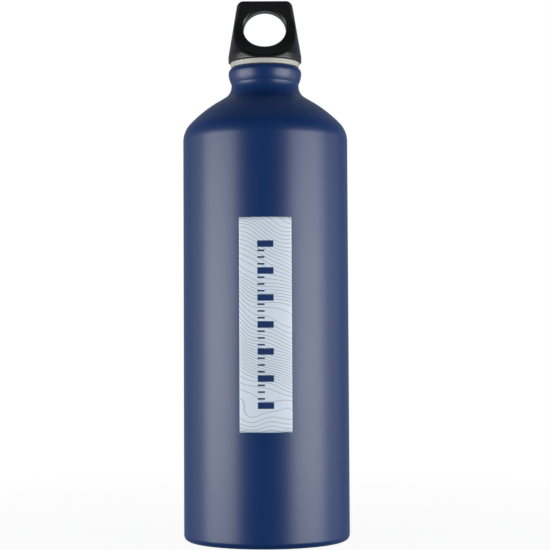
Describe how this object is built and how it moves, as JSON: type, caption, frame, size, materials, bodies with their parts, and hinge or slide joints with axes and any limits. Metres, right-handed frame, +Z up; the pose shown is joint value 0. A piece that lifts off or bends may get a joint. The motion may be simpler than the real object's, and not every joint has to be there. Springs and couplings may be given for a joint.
{
  "type": "bottle with screw-in loop cap",
  "caption": "Aluminium bottle with a rolled neck and a plastic screw-in cap whose loop carries it; the cap unscrews and lifts off on its gasket.",
  "frame": {"origin": "centre of the standing ring, on the surface that the bottle stands on", "axes": "+Z up along the bottle's axis, towards the cap; the cap's eye looks along Y, and X runs across the loop"},
  "size_m": [0.081, 0.081, 0.265],
  "materials": {
    "powder_coat": "satin",
    "bare_aluminium": "satin",
    "gasket_silicone": "matte",
    "cap_plastic": "satin"
  },
  "bodies": {
    "bottle": {"bottle_shell": "powder_coat", "neck_thread_ring": "bare_aluminium"},
    "seal": {"cap_gasket": "gasket_silicone"},
    "cap": {"cap_body": "cap_plastic"}
  },
  "joints": [
    {"name": "cap_lift", "type": "slide", "parent": "bottle", "child": "seal", "axis": [0, 0, 1], "range_m": [0, 0.014]},
    {"name": "cap_turn", "type": "hinge", "parent": "seal", "child": "cap", "pos_m": [0, 0, 0.23459], "axis": [0, 0, 1], "range_deg": [0, 1260]}
  ],
  "couplings": [
    {"joint": "cap_lift", "follows": "cap_turn", "m_per_rad": 0.00063661}
  ]
}
